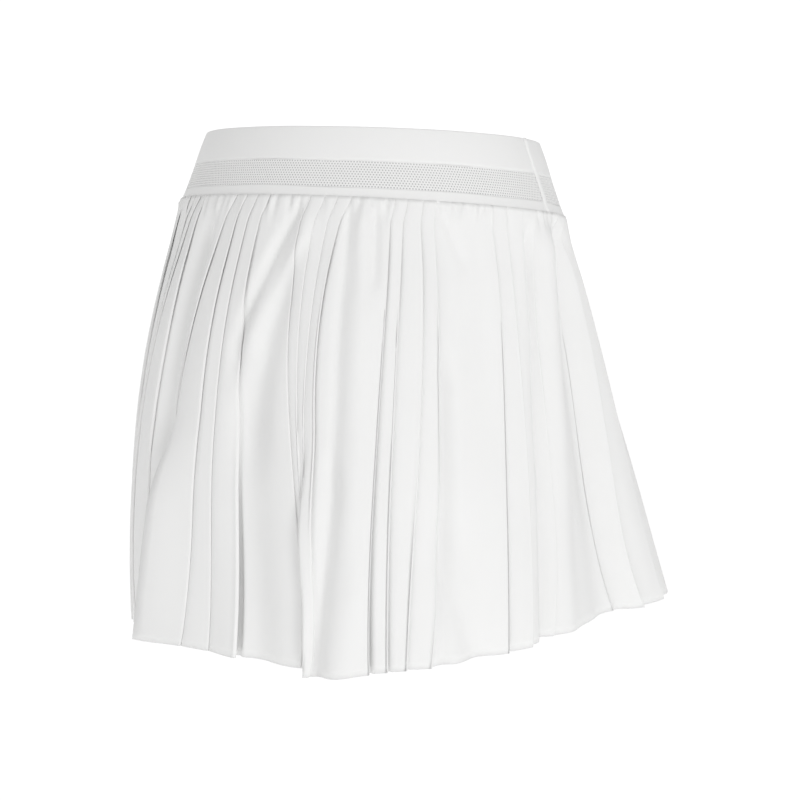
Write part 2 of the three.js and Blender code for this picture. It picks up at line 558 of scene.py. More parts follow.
@dataclass(frozen=True)
class Crease:
    """A soft trough or ridge that crosses the plain faces.

    Its path is a row of (level, place on the half), its width a share of the half, its rise
    millimetres outwards, and its fade the levels over which it dies out past each end.
    """

    path: tuple[tuple[float, float], ...]
    width: float
    rise: float
    fade: float = 0.10

    def lift(self, place: np.ndarray, level: np.ndarray) -> np.ndarray:
        """Height of the crease, in millimetres.

        Args:
            place: places on the half.
            level: levels, with the same shape.

        Returns:
            Millimetres outwards.
        """
        levels, places = zip(*self.path)
        middle = np.interp(level, levels, places)
        starts = ease((level - levels[0]) / self.fade + 1.0)
        stops = ease((levels[-1] - level) / self.fade + 1.0)
        return self.rise * bell((place - middle) / self.width) * starts * stops


@dataclass(frozen=True)
class Roll:
    """A pleat that has rolled forward low down, over the pleats to its left.

    Its path is the foot of the rolled edge, as (level, place on the half). The rise of the rolled
    cloth, the dip of the cloth beside it and the drop of its hem are millimetres. The width of the
    edge and the reach of the roll are shares of the half, and so is the lean, which is how far the
    lifted cloth hangs over to the left of its foot. The roll grows to its full size over the
    growth, in levels.
    """

    path: tuple[tuple[float, float], ...]
    rise: float
    dip: float
    edge: float
    reach: float
    drop: float
    lean: float
    growth: float = 0.25

    def weights(self, place: np.ndarray, level: np.ndarray) -> tuple[np.ndarray, np.ndarray]:
        """How strongly the roll lifts each point, and how strongly the cloth beside it dips.

        Args:
            place: places on the half.
            level: levels, with the same shape.

        Returns:
            Two arrays from 0 to 1.
        """
        levels, places = zip(*self.path)
        offset = place - np.interp(level, levels, places)
        grown = ease((level - levels[0]) / self.growth)
        step = ease(offset / self.edge + 0.5)
        lifted = grown * step * bell(np.maximum(offset, 0.0) / self.reach)
        dipped = grown * (1.0 - step) * bell(np.minimum(offset, 0.0) / self.reach)
        return lifted, dipped


SHALLOW = (1.5, 1.7)
PLAIN = (3.4, 4.4)

FOLDS = (
    Fold((0.037, 0.050, 0.021, 0.004), (3.0, 3.6), 0.0),
    Fold((0.070, 0.092, 0.060, 0.040), (4.6, 5.6), 0.0),
    Fold((0.100, 0.128, 0.104, 0.084), (4.6, 5.6), 0.0),
    Fold((0.130, 0.160, 0.140, 0.118), PLAIN),
    Fold((0.192, 0.200, 0.178, 0.150), SHALLOW),
    Fold((0.212, 0.220, 0.198, 0.170), PLAIN),
    Fold((0.232, 0.240, 0.218, 0.190), SHALLOW),
    Fold((0.254, 0.260, 0.238, 0.212), PLAIN),
    Fold((0.291, 0.286, 0.268, 0.244), SHALLOW),
    Fold((0.312, 0.300, 0.283, 0.262), SHALLOW),
    Fold((0.333, 0.316, 0.300, 0.281), SHALLOW),
    Fold((0.352, 0.358, 0.346, 0.308), (2.2, 1.6), 0.6),
    Fold((0.432, 0.403, 0.370, 0.318), (2.0, 1.2)),
    Fold((0.453, 0.445, 0.436, 0.399), (2.0, 1.5), 0.8),
    Fold((0.475, 0.467, 0.460, 0.436), (1.5, 1.2), 1.0),
    Fold((0.497, 0.494, 0.494, 0.474), (2.2, 7.0), 0.42),
    Fold((0.566, 0.565, 0.571, 0.551), (1.5, 1.1)),
    Fold((0.588, 0.579, 0.5775, 0.553), (1.2, 1.1)),
    Fold((0.608, 0.592, 0.5805, 0.555), (1.2, 1.1)),
    Fold((0.629, 0.605, 0.597, 0.570), (2.1, 1.2), 0.9),
    Fold((0.694, 0.687, 0.658, 0.626), (3.0, 6.0), 0.6),
    Fold((0.713, 0.705, 0.677, 0.644), (2.6, 4.0), 0.6),
    Fold((0.736, 0.738, 0.706, 0.664), (3.0, 3.6), 0.2),
    Fold((0.757, 0.761, 0.736, 0.691), (3.4, 4.2), 0.1),
    Fold((0.853, 0.857, 0.826, 0.788), (4.0, 5.0)),
    Fold((0.882, 0.889, 0.864, 0.820), (4.0, 5.6)),
    Fold((0.915, 0.918, 0.887, 0.843), (2.6, 2.6)),
    Fold((0.953, 0.938, 0.914, 0.868), SHALLOW),
)

CREASES = (
    Crease(((0.04, 0.555), (0.14, 0.524), (0.26, 0.499), (0.33, 0.490)), 0.009, -4.5),
    Crease(((0.08, 0.572), (0.17, 0.545), (0.30, 0.515)), 0.011, 3.0),
    Crease(((0.22, 0.545), (0.36, 0.530), (0.48, 0.518)), 0.022, -5.5, 0.15),
    Crease(((0.50, 0.514), (0.67, 0.512), (1.00, 0.496)), 0.030, -6.5, 0.2),
    Crease(((0.05, 0.636), (0.16, 0.637), (0.42, 0.630), (0.55, 0.622)), 0.008, -2.5),
    Crease(((0.05, 0.655), (0.16, 0.659)), 0.010, 3.0),
    Crease(((0.03, 0.675), (0.16, 0.678)), 0.007, -2.5, 0.05),
    Crease(((0.26, 0.658), (0.50, 0.649), (0.80, 0.630), (1.00, 0.600)), 0.016, 4.0),
    Crease(((0.62, 0.620), (0.72, 0.611), (0.83, 0.597), (0.97, 0.579)), 0.009, -6.0),
    Crease(((0.02, 0.772), (0.12, 0.802)), 0.008, -1.5, 0.05),
    Crease(((0.40, 0.765), (0.55, 0.755), (0.75, 0.736), (1.00, 0.707)), 0.010, -3.5),
    Crease(((0.80, 0.740), (1.00, 0.752)), 0.022, -7.0, 0.2),
    Crease(
        ((0.10, 0.935), (0.29, 0.930), (0.52, 0.909), (0.63, 0.899), (0.83, 0.874), (1.00, 0.851)),
        0.009, -5.5,
    ),
    Crease(
        ((0.10, 0.988), (0.29, 0.972), (0.47, 0.955), (0.61, 0.940), (0.79, 0.918), (1.00, 0.895)),
        0.024, 5.5,
    ),
    Crease(
        ((0.08, 1.048), (0.23, 1.048), (0.51, 1.033), (0.68, 1.018), (0.86, 1.003), (1.00, 0.992)),
        0.034, -13.0,
    ),
    Crease(((0.12, 0.390), (0.30, 0.384), (0.50, 0.378)), 0.016, -9.0),
    Crease(((0.10, 0.290), (0.50, 0.270), (1.00, 0.225)), 0.012, -4.0),
    Crease(((0.08, 0.172), (0.40, 0.176), (1.00, 0.134)), 0.012, -5.0),
)

ROLLS = (
    Roll(
        ((0.45, 0.402), (0.61, 0.384), (0.88, 0.350), (1.00, 0.323)),
        rise=10.0, dip=5.0, edge=0.006, reach=0.045, drop=2.0, lean=0.007,
    ),
    Roll(
        ((0.48, 0.594), (0.66, 0.582), (0.85, 0.573), (1.00, 0.562)),
        rise=7.0, dip=0.0, edge=0.006, reach=0.050, drop=4.0, lean=0.007,
    ),
)


@dataclass
class PleatedSkirt:
    """The skirt below the band: two panels of knife pleats on the worn form.

    Heights of folds, creases and ripples are millimetres, and so are the ripples' lengths and the
    fall from seam to hem. The wander is sideways, as a share of the half. A row of the grid runs
    round the skirt at one level, and a panel's folds come in groups of the group size, with a wide
    plain face before each group.
    """

    form: WornForm
    finish: WovenFinish = WovenFinish()
    folds: tuple[Fold, ...] = FOLDS
    creases: tuple[Crease, ...] = CREASES
    rolls: tuple[Roll, ...] = ROLLS
    fall: float = 284.0
    rows: int = 72
    narrow_points: int = 8
    wide_points: int = 26
    group_size: int = 4
    cloth_wall: float = 0.32 * MM
    layer_at_seam: float = 0.42
    layer_below: float = 0.60
    layers_at_seam: float = 2.4
    turn_share: float = 0.46
    slit_width: float = 2.6
    climb_widths: tuple[float, float] = (16.0, 18.0)
    softest_edge: float = 1.3
    sharpest_edge: float = 0.15
    top_lean: float = 0.006
    hang_back: float = 2.4
    sway: tuple[float, Ripple] = (0.7, Ripple(5, (31.0, 47.0, 83.0)))
    gathers: tuple[float, Ripple] = (2.2, Ripple(11, (7.3, 10.1, 13.7)))
    hem_wave: tuple[float, Ripple] = (1.0, Ripple(17, (120.0, 210.0)))
    wander: tuple[float, Ripple] = (0.0012, Ripple(3, (190.0, 260.0)))
    flat_cut: tuple[float, float] = (0.86, 0.30)
    cut_area: float = 0.245

    def levels(self) -> np.ndarray:
        """Levels of the rows, closer together near the seam."""
        even = np.linspace(0.0, 1.0, self.rows)
        return mix(even**2, even, 0.6)

    def place_of(self, fold: int, level: np.ndarray) -> np.ndarray:
        """Place of a fold counted over the whole skirt.

        Args:
            fold: number of the fold, 0 at the first one of the back.
            level: array of levels.

        Returns:
            Its place, where 0 to 1 is the back and 1 to 2 the front.
        """
        half, own = divmod(fold, len(self.folds))
        lean = self.top_lean * (1.0 - ease(level / 0.06))
        return half + along_levels(self.folds[own].line, level) + lean

    def stand_of(self, fold: int, level: np.ndarray) -> np.ndarray:
        """How far a fold's edge stands out from the face beneath it, in millimetres.

        Args:
            fold: number of the fold.
            level: array of levels.

        Returns:
            Millimetres at each level.
        """
        middle, hem = self.folds[fold % len(self.folds)].stand
        lower = mix(middle, hem, ease((level - 0.4) / 0.6))
        return mix(self.layers_at_seam * self.layer_at_seam, lower, ease((level - 0.01) / 0.16))

    def layer(self, level: np.ndarray) -> np.ndarray:
        """Distance between two layers of a pressed fold, in millimetres, at each level."""
        return mix(self.layer_at_seam, self.layer_below, ease(level / 0.12))

    def edge_radius(self, fold: int, level: np.ndarray) -> np.ndarray:
        """Radius of a fold's outer edge: pressed sharp near the seam, soft and open below.

        Args:
            fold: number of the fold.
            level: array of levels.

        Returns:
            Millimetres at each level.
        """
        pressed = self.layer(level) / 2.0
        pitch = self.turn_of(fold, level) / self.turn_share * self.half_length
        most = 0.3 * pitch
        soft = np.minimum(np.minimum(0.42 * self.stand_of(fold, level), self.softest_edge), most)
        soft = np.maximum(soft, self.sharpest_edge)
        return mix(np.minimum(pressed, most), soft, ease((level - 0.08) / 0.3))

    def turn_of(self, fold: int, level: np.ndarray) -> np.ndarray:
        """How far a fold's cloth runs back beneath it.

        Args:
            fold: number of the fold.
            level: array of levels.

        Returns:
            A share of the half at each level.
        """
        later = fold if (fold + 1) % self.group_size == 0 else fold + 1
        pitch = self.place_of(later, level) - self.place_of(later - 1, level)
        return self.turn_share * pitch

    def face_columns(self, fold: int, level: np.ndarray) -> tuple[list, list]:
        """The columns of one face, its outer fold, its return and its inner fold.

        Args:
            fold: number of the fold at the face's far edge.
            level: array of levels.

        Returns:
            Lists of places and of lifts in millimetres, one array of levels for each column.
        """
        before, end = self.place_of(fold - 1, level), self.place_of(fold, level)
        hidden = self.turn_of(fold - 1, level)
        turn, layer, stand = self.turn_of(fold, level), self.layer(level), self.stand_of(fold, level)
        edge = self.edge_radius(fold, level)
        length = self.half_length
        wide = fold % self.group_size == 0
        count = self.wide_points if wide else self.narrow_points
        shoulder = self.folds[(fold - 1) % len(self.folds)].slit * self.stand_of(fold - 1, level)
        width = (end - before) * length
        near, far = self.climb_widths
        places, lifts = [before - hidden, before - 0.4 * hidden], [0.0 * level, 0.0 * level]
        for step in np.linspace(0.0, 1.0, count):
            share = 0.5 - 0.5 * math.cos(math.pi * step)
            share = mix(share, step, 0.35)
            places.append(mix(before, end, share))
            raised = shoulder * ease(share * width / self.slit_width)
            if wide:
                climb = mix(0.5 * ease(share * width / near), 1.0, ease(1.0 - (1.0 - share) * width / far))
            else:
                climb = mix(share, float(ease(share)), 0.3)
            lifts.append(mix(raised, stand, climb))
        places[-1] = end - edge / length
        for angle in np.radians(range(30, 181, 30)):
            places.append(end + edge * (math.sin(angle) - 1.0) / length)
            lifts.append(stand - edge + edge * math.cos(angle))
        for share in (0.6, 1.0):
            places.append(end - mix(edge / length, turn, share))
            lifts.append(mix(stand - 2.0 * edge, layer, share))
        radius = layer / 2.0
        for angle in np.radians((60, 120)):
            places.append(end - turn - radius * math.sin(angle) / length)
            lifts.append(radius + radius * math.cos(angle))
        return places, lifts

    @property
    def half_length(self) -> float:
        """Length of half a ring at mid level, in millimetres."""
        return self.form.ring(0.5)["length"] / 2.0 / MM

    def drape(
        self, place: np.ndarray, level: np.ndarray
    ) -> tuple[np.ndarray, np.ndarray, np.ndarray]:
        """What the hang of the cloth adds to every layer alike, in millimetres.

        Args:
            place: places, rows x columns.
            level: levels, rows x columns.

        Returns:
            Millimetres outwards, millimetres downwards, and a share of the half to the left.
        """
        on_half = np.mod(place, 1.0)
        along, down = place * self.half_length, level * self.fall
        height, ripple = self.sway
        out = height * ripple.at(along, down) * ease(level / 0.15)
        height, ripple = self.gathers
        pucker = ripple.at(along) * self.plain_share(place, level)
        out += height * pucker * bell(level / 0.038) * ease(level / 0.008)
        height, ripple = self.hem_wave
        lower = height * ripple.at(along) * ease((level - 0.5) / 0.5)
        hung = np.zeros_like(place)
        for lap in (-1.0, 0.0, 1.0):
            for crease in self.creases:
                out += crease.lift(on_half + lap, level) * ease(level / 0.05)
            for roll in self.rolls:
                lifted, dipped = roll.weights(on_half + lap, level)
                out += roll.rise * lifted - roll.dip * dipped
                lower += roll.drop * lifted * ease((level - 0.6) / 0.4)
                hung += roll.lean * lifted
        return out, lower, hung

    def plain_share(self, place: np.ndarray, level: np.ndarray) -> np.ndarray:
        """1 on the plain faces between groups and less on the pressed pleats.

        Args:
            place: places, rows x columns.
            level: levels, rows x columns.

        Returns:
            Array of the same shape.
        """
        on_half = np.mod(place, 1.0)
        share = np.ones_like(on_half)
        for first in range(0, len(self.folds), self.group_size):
            start = self.place_of(first, level[:, 0])[:, None]
            end = self.place_of(first + self.group_size - 1, level[:, 0])[:, None]
            inside = ease((on_half - start) / 0.008 + 0.5) * ease((end - on_half) / 0.008 + 0.5)
            share = share * (1.0 - 0.7 * inside)
        return share

    def panel_points(self, half: Half) -> tuple[np.ndarray, np.ndarray]:
        """All points of one panel's middle surface.

        Args:
            half: which panel.

        Returns:
            Points rows x columns x 3 in metres, and the same on the flat cloth.
        """
        level = self.levels()
        places, lifts = [], []
        first = half.value * len(self.folds) + 1
        for fold in range(first, first + len(self.folds)):
            more_places, more_lifts = self.face_columns(fold, level)
            places += more_places
            lifts += more_lifts
        place, lift = np.stack(places, 1), np.stack(lifts, 1)
        grid_level = np.broadcast_to(level[:, None], place.shape)
        width, ripple = self.wander
        aside = width * ripple.at(place * self.half_length, grid_level * self.fall)
        place = place + aside * ease(grid_level / 0.2)
        out, lower, hung = self.drape(place, grid_level)
        place = place - hung
        lift = (lift + out - self.hang_back * ease(grid_level / 0.15)) * MM
        points = np.empty((*place.shape, 3))
        for row, here in enumerate(level):
            ring = self.form.ring(float(here))
            share = np.mod(place[row] / 2.0, 1.0)
            x, y, z, out_x, out_y = (
                np.interp(share, ring["share"], ring[key]) for key in ("x", "y", "z", "out_x", "out_y")
            )
            x, y = x + out_x * lift[row], y + out_y * lift[row]
            points[row] = np.stack([x, y, z - lower[row] * MM], -1)
        middle = points[self.rows // 2]
        across = np.concatenate([[0.0], np.cumsum(np.linalg.norm(np.diff(middle, axis=0), axis=1))])
        down = level * self.flat_cut[1]
        flat = np.stack(np.broadcast_arrays(across[None, :], down[:, None]), -1)
        for row in (0, self.rows // 2, self.rows - 1):
            steps = np.linalg.norm(np.diff(points[row], axis=0), axis=1)
            LOG.info("%s panel, level %.2f: %.3f m of cloth", half.label, level[row], steps.sum())
        return points, flat

    def build(self) -> list[bpy.types.Object]:
        """Builds and thickens both panels and fixes them to the frame.

        Returns:
            The two panels.
        """
        material = self.finish.material()
        made = []
        for half in Half:
            name = f"pleated_panel_{half.label}"
            points, flat = self.panel_points(half)
            panel = grid_object(name, points, flat, material)
            wall = panel.modifiers.new("wall", "SOLIDIFY")
            wall.thickness = self.cloth_wall
            wall.offset = 0.0
            dress(panel, "pleated_cloth", f"skirt_{half.label}")
            made.append(panel)
        return made


# ---------------------------------------------------------------- the band


@dataclass
class Waistband:
    """The smooth doubled band, the narrow strip below the mesh, and the side seam ridges.

    An outline is a closed section of (share of the band's depth, metres outwards) pairs.
    """

    form: WornForm
    finish: KnitFinish = KnitFinish()
    band_wall: float = 2.0 * MM
    strip_wall: float = 1.6 * MM
    strip_flare: float = 0.3 * MM
    strip_bottom: float = 1.03
    band_crown: float = 0.4 * MM
    seam_gap: float = 0.15 * MM
    edge_wander: tuple[float, Ripple] = (0.012, Ripple(21, (95.0, 61.0, 150.0)))
    soft_swell: tuple[float, Ripple] = (0.15 * MM, Ripple(8, (70.0, 113.0)))
    steps: int = 180
    ridge_width: float = 5.0 * MM
    ridge_height: float = 1.3 * MM
    ridge_sunk: float = 0.1 * MM
    ridge_raised: float = 0.2 * MM

    def wander(self, angle: np.ndarray) -> np.ndarray:
        """How far the sewn edges wander up and down, as a share of the band's depth."""
        share, ripple = self.edge_wander
        return share * ripple.at(angle / MM * self.form.waist_half_width)

    def swell(self, angle: np.ndarray) -> np.ndarray:
        """How far the soft band swells in and out, in metres."""
        height, ripple = self.soft_swell
        return height * ripple.at(angle / MM * self.form.waist_half_width)

    def band_section(self) -> list[tuple[float, float]]:
        """Outline of the upper band: a rounded folded top, and a flush lower edge.

        Returns:
            Pairs of share and lift, from the top edge's inner side round the outside and back.
        """
        bottom, wall = self.form.mesh_top, self.band_wall
        round_share = wall / 2.0 / self.form.band_depth
        outline = []
        for angle in np.radians(range(0, 181, 20)):
            outline.append((round_share * (1.0 - math.sin(angle)), -wall / 2.0 * (1.0 + math.cos(angle))))
        for share in np.linspace(0.1, 0.9, 8):
            outline.append((mix(round_share, bottom, share), self.band_crown * math.sin(math.pi * share)))
        outline += [(bottom, 0.0), (bottom, -wall)]
        return outline + [(mix(bottom, round_share, share), -wall) for share in (0.25, 0.5, 0.75)]

    def strip_section(self) -> list[tuple[float, float]]:
        """Outline of the lower strip: flush with the insert above, flared and tucked in below.

        Returns:
            Pairs of share and lift, from the top edge down the outside and back up the inside.
        """
        top, bottom = self.form.strip_top, self.strip_bottom
        wall, flare = self.strip_wall, self.strip_flare
        outline = [(top, 0.0)]
        for share in np.linspace(0.15, 0.85, 6):
            outline.append((mix(top, 1.0, share), flare * float(ease(share))))
        outline += [(0.99, flare), (1.01, flare), (bottom, -flare), (bottom, flare - wall)]
        outline += [(mix(bottom, top, share), mix(flare, 0.0, share) - wall) for share in (0.3, 0.6)]
        return outline + [(top, -wall)]

    def layer_object(
        self, name: str, half: Half, outline: list[tuple[float, float]], edges: tuple[float, float]
    ) -> bpy.types.Object:
        """Sweeps a section round one half of the waist and closes its ends.

        Args:
            name: the object's name.
            half: which half.
            outline: the section.
            edges: how much the top and the bottom edge follow the wandering seams.

        Returns:
            The object.
        """
        gap = self.seam_gap / self.form.waist_half_width
        angle = np.linspace(half.start_angle + gap, half.start_angle + math.pi - gap, self.steps)
        wander, swell = self.wander(angle), self.swell(angle)
        shares = np.array([pair[0] for pair in outline])
        span = (shares - shares.min()) / (shares.max() - shares.min())
        rows, flats = [], []
        for (share, lift), here in zip(outline, span):
            moved = share + wander * mix(edges[0], edges[1], here)
            free = mix(1.0 - edges[0], 1.0 - edges[1], here)
            rows.append(self.form.band_point(angle, moved, lift + swell * free))
            along = (angle - half.start_angle) * self.form.waist_half_width
            flats.append(np.stack([along, moved * self.form.band_depth], -1))
        return self.closed_object(name, rows, flats)

    def closed_object(self, name: str, rows: list[np.ndarray], flats: list[np.ndarray]) -> bpy.types.Object:
        """Joins the swept lines of a closed section into a knitted piece with capped ends.

        Args:
            name: the object's name.
            rows: one array of points for each point of the section.
            flats: the same points on the flat cloth.

        Returns:
            The object.
        """
        material = kept(self.finish.name, self.finish.material)
        made = grid_object(name, np.stack(rows), np.stack(flats), material, closed_rows=True)
        close_ends(made, len(rows), len(rows[0]))
        return made

    def ridge_object(self, side: str, angle: float) -> bpy.types.Object:
        """The raised seam allowance at one side of the band.

        Args:
            side: left or right, the wearer's.
            angle: where it runs, in radians.

        Returns:
            The object.
        """
        shares = np.linspace(-0.005, 1.0, 40)
        turns = np.radians(np.arange(0.0, 360.0, 20.0))
        half_turn = self.ridge_width / 2.0 / self.form.waist_half_width
        fade = ease((shares + 0.005) / 0.02) * ease((1.02 - shares) / 0.05)
        rows, flats = [], []
        for turn in turns:
            sway = 0.06 * np.sin(shares * 7.0 + angle)
            at = angle + half_turn * (math.cos(turn) * mix(0.7, 1.0, fade) + sway)
            uneven = mix(0.85, 1.0, np.cos(9.0 * shares) ** 2)
            out = self.ridge_raised + self.ridge_height * math.sin(turn) * fade * uneven
            rows.append(self.form.band_point(at, shares, np.maximum(out, -self.ridge_sunk)))
            flats.append(np.stack([np.full_like(shares, turn * MM), shares * self.form.band_depth], -1))
        return self.closed_object(f"side_seam_{side}", rows, flats)

    def build(self) -> list[bpy.types.Object]:
        """Builds the upper band, the strip and the side seams.

        Returns:
            The six pieces.
        """
        made = []
        for half in Half:
            band = self.layer_object(f"upper_band_{half.label}", half, self.band_section(), (0.15, 1.0))
            dress(band, "band_knit", f"waistband_{half.label}")
            strip = self.layer_object(f"lower_strip_{half.label}", half, self.strip_section(), (1.0, 0.0))
            dress(strip, "band_knit", f"waist_strip_{half.label}")
            made += [band, strip]
        for side, angle in (("left", 0.0), ("right", math.pi)):
            ridge = self.ridge_object(side, angle)
            made.append(dress(ridge, "band_knit", f"seam_ridge_{side}"))
        return made


def close_ends(made: bpy.types.Object, count: int, columns: int) -> None:
    """Caps both ends of a swept loop and turns every face outwards.

    Args:
        made: an object from grid_object with closed rows.
        count: points in the loop.
        columns: sections along it.
    """
    work = bmesh.new()
    work.from_mesh(made.data)
    work.verts.ensure_lookup_table()
    for column in (0, columns - 1):
        work.faces.new([work.verts[row * columns + column] for row in range(count)])
    bmesh.ops.recalc_face_normals(work, faces=work.faces[:])
    work.to_mesh(made.data)
    work.free()


# ---------------------------------------------------------------- the perforated insert


@dataclass
class MeshInsert:
    """The perforated strip: one pierced cell, repeated in staggered rows and bent round the band.

    The band is doubled, and each hole ends in a shallow floor whose mid grey finish is painted shade,
    standing in for the shadowed inner layer seen through the hole. The strip is tucked a little way
    under its neighbours, above and below.
    """

    form: WornForm
    finish: KnitFinish = KnitFinish(name="band_mesh_white", relief=0.02 * MM)
    # Painted shade: the holes' floors are mid grey to stand for the shadow inside the holes.
    hole_shade_finish: KnitFinish = KnitFinish(
        name="band_mesh_painted_hole_shade", colour=(0.52, 0.52, 0.52), sheen=0.0
    )
    wall: float = 1.0 * MM
    pitch_along: float = 2.0 * MM
    rows: int = 11
    tucked_share: float = 0.004
    hole_radius: float = 0.55 * MM
    hole_depth: float = 0.22 * MM
    hole_sides: int = 12
    recess: float = 0.08 * MM
    weld: float = 0.02 * MM

    def cell_mesh(self, name: str, pitch_down: float) -> bpy.types.Mesh:
        """One flat pierced cell, centred on the origin, open at its four outer sides.

        Args:
            name: the mesh's name.
            pitch_down: the cell's height in metres.

        Returns:
            The mesh.
        """
        half_x, half_y = self.pitch_along / 2.0, pitch_down / 2.0
        border = [(1, 0), (1, 1), (0, 1), (-1, 1), (-1, 0), (-1, -1), (0, -1), (1, -1)]
        sides, corners = self.hole_sides, len(border)
        turns = [FULL_TURN * i / sides for i in range(sides)]
        rim = [(self.hole_radius * math.cos(turn), self.hole_radius * math.sin(turn)) for turn in turns]
        verts = [(x * half_x, y * half_y, 0.0) for x, y in border]
        verts += [(x, y, height) for height in (0.0, -self.hole_depth) for x, y in rim]
        verts += [(x * half_x, y * half_y, -self.wall) for x, y in border]
        steps = sorted(
            [(i / corners, "border", i) for i in range(1, corners + 1)]
            + [((i - 0.01) / sides, "hole", i) for i in range(1, sides + 1)]
        )
        faces, outer, inner = [], 0, 0
        for _, kind, i in steps:
            if kind == "border":
                faces.append((outer, i % corners, corners + inner % sides))
                outer = i % corners
            else:
                faces.append((outer, corners + i % sides, corners + inner % sides))
                inner = i
        for i in range(sides):
            a, b = corners + i, corners + (i + 1) % sides
            faces.append((a, b, b + sides, a + sides))
        inner_side = tuple(len(verts) - 1 - i for i in range(corners))
        hole_floor = tuple(corners + sides + i for i in range(sides))
        faces += [inner_side, hole_floor]
        mesh = bpy.data.meshes.new(name)
        mesh.from_pydata(verts, [], faces)
        floor = mesh.attributes.new("hole_floor", "BOOLEAN", "FACE")
        floor.data.foreach_set("value", [i == len(faces) - 1 for i in range(len(faces))])
        return mesh

    def tree(self, material: bpy.types.Material) -> bpy.types.NodeTree:
        """The node tree that repeats the cell and bends the sheet round the band.

        Args:
            material: set on every face but the holes' floors.

        Returns:
            The tree, with named inputs for its sizes.
        """
        tree = bpy.data.node_groups.new("perforated_insert", "GeometryNodeTree")
        graph = NodeGraph(tree)
        face = tree.interface
        face.new_socket("Cell", in_out="INPUT", socket_type="NodeSocketGeometry")
        for name in ("Cells Along", "Rows"):
            face.new_socket(name, in_out="INPUT", socket_type="NodeSocketInt")
        for name in (
            "Pitch Along", "Pitch Down", "Start Angle", "Top Share", "Bottom Share",
            "Half Width", "Half Depth", "Flare", "Band Depth", "Waist Tilt", "Seam Tilt", "Weld",
        ):
            face.new_socket(name, in_out="INPUT", socket_type="NodeSocketFloat")
        face.new_socket("Insert", in_out="OUTPUT", socket_type="NodeSocketGeometry")
        given = graph.node("NodeGroupInput").outputs
        along = graph.math("MULTIPLY", given["Cells Along"], given["Pitch Along"])
        down = graph.math("MULTIPLY", given["Rows"], given["Pitch Down"])
        grid = graph.node("GeometryNodeMeshGrid", {
            "Size X": graph.math("SUBTRACT", along, given["Pitch Along"]),
            "Size Y": graph.math("SUBTRACT", down, given["Pitch Down"]),
            "Vertices X": given["Cells Along"], "Vertices Y": given["Rows"],
        })
        index = graph.node("GeometryNodeInputIndex").outputs[0]
        row = graph.math("MODULO", index, given["Rows"])
        odd = graph.math("SUBTRACT", graph.math("MODULO", row, 2.0), 0.5)
        stagger = graph.math("MULTIPLY", odd, graph.math("MULTIPLY", given["Pitch Along"], 0.5))
        shifted = graph.node("ShaderNodeCombineXYZ", {0: stagger}).outputs[0]
        points = graph.node("GeometryNodeSetPosition", {"Geometry": grid.outputs[0], "Offset": shifted})
        cells = graph.node(
            "GeometryNodeInstanceOnPoints", {"Points": points.outputs[0], "Instance": given["Cell"]}
        )
        sheet = graph.node("GeometryNodeRealizeInstances", {0: cells.outputs[0]})
        joined = graph.node(
            "GeometryNodeMergeByDistance", {0: sheet.outputs[0], "Distance": given["Weld"]}
        )
        bent = graph.node("GeometryNodeSetPosition", {
            "Geometry": joined.outputs[0], "Position": self.bend(graph, given, along, down),
        })
        painted = graph.node("GeometryNodeSetMaterial", {0: bent.outputs[0], "Material": material})
        # The holes' floors take the mid grey material, which is painted shade.
        floor = graph.node("GeometryNodeInputNamedAttribute", {"Name": "hole_floor"}, data_type="BOOLEAN")
        painted_hole_shade = kept(self.hole_shade_finish.name, self.hole_shade_finish.material)
        floored = graph.node(
            "GeometryNodeSetMaterial",
            {0: painted.outputs[0], "Selection": floor.outputs[0], "Material": painted_hole_shade},
        )
        graph.node("NodeGroupOutput", {0: floored.outputs[0]})
        return tree

    def bend(
        self, graph: NodeGraph, given: bpy.types.bpy_prop_collection, along: Socket, down: Socket
    ) -> Socket:
        """Nodes that carry a point of the flat sheet onto the band.

        Args:
            graph: the graph to add to.
            given: the group's inputs.
            along: socket with the sheet's length.
            down: socket with the sheet's height.

        Returns:
            The socket with the new position.
        """
        place = graph.node("GeometryNodeInputPosition").outputs[0]
        flat = graph.node("ShaderNodeSeparateXYZ", {0: place}).outputs
        turned = graph.math("ADD", graph.math("DIVIDE", flat[0], along), 0.5)
        angle = graph.math("ADD", graph.math("MULTIPLY", turned, math.pi), given["Start Angle"])
        fallen = graph.math("SUBTRACT", 0.5, graph.math("DIVIDE", flat[1], down))
        spread = graph.math("SUBTRACT", given["Bottom Share"], given["Top Share"])
        share = graph.math("ADD", graph.math("MULTIPLY", fallen, spread), given["Top Share"])
        grown = graph.math("MULTIPLY", given["Flare"], share)
        wide = graph.math("ADD", given["Half Width"], grown)
        deep = graph.math("ADD", given["Half Depth"], grown)
        cosine, sine = graph.math("COSINE", angle), graph.math("SINE", angle)
        square_a = graph.math("POWER", graph.math("MULTIPLY", deep, cosine), 2.0)
        square_b = graph.math("POWER", graph.math("MULTIPLY", wide, sine), 2.0)
        reach = graph.math("SQRT", graph.math("ADD", square_a, square_b))
        ellipse = graph.math("DIVIDE", graph.math("MULTIPLY", wide, deep), reach)
        radius = graph.math("ADD", ellipse, flat[2])
        x, y = graph.math("MULTIPLY", radius, cosine), graph.math("MULTIPLY", radius, sine)
        upper = graph.math("MULTIPLY", given["Waist Tilt"], y)
        lower = graph.math("SUBTRACT", graph.math("MULTIPLY", given["Seam Tilt"], y), given["Band Depth"])
        fall = graph.math("MULTIPLY", graph.math("SUBTRACT", lower, upper), share)
        z = graph.math("ADD", upper, fall)
        return graph.node("ShaderNodeCombineXYZ", {0: x, 1: y, 2: z}).outputs[0]

